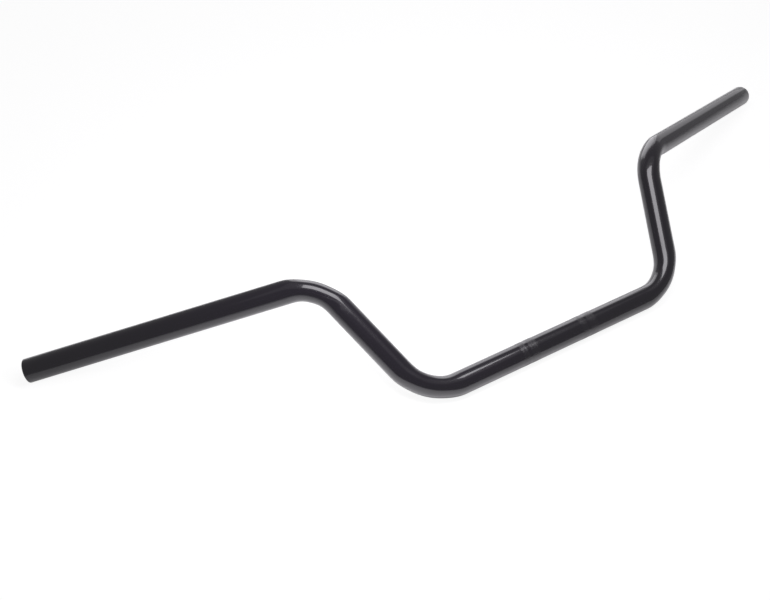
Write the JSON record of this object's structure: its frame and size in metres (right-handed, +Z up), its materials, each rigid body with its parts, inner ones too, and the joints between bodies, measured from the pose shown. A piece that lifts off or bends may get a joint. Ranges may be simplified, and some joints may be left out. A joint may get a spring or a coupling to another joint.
{
  "type": "motorcycle handlebar",
  "caption": "Wide bare motorcycle handlebar: a round tube bent up into two risers and back into two straight grip ends, with knurled bands where it is clamped.",
  "frame": {"origin": "middle of the straight clamp section, on the tube's centre line", "axes": "+X along the bar to the right-hand grip, +Z up from the table that the bar lies on, +Y towards the risers and grips"},
  "size_m": [0.8764, 0.2251, 0.0836],
  "materials": {
    "paint": "gloss black"
  },
  "bodies": {
    "root": {"handlebar_tube": "paint"}
  },
  "joints": []
}
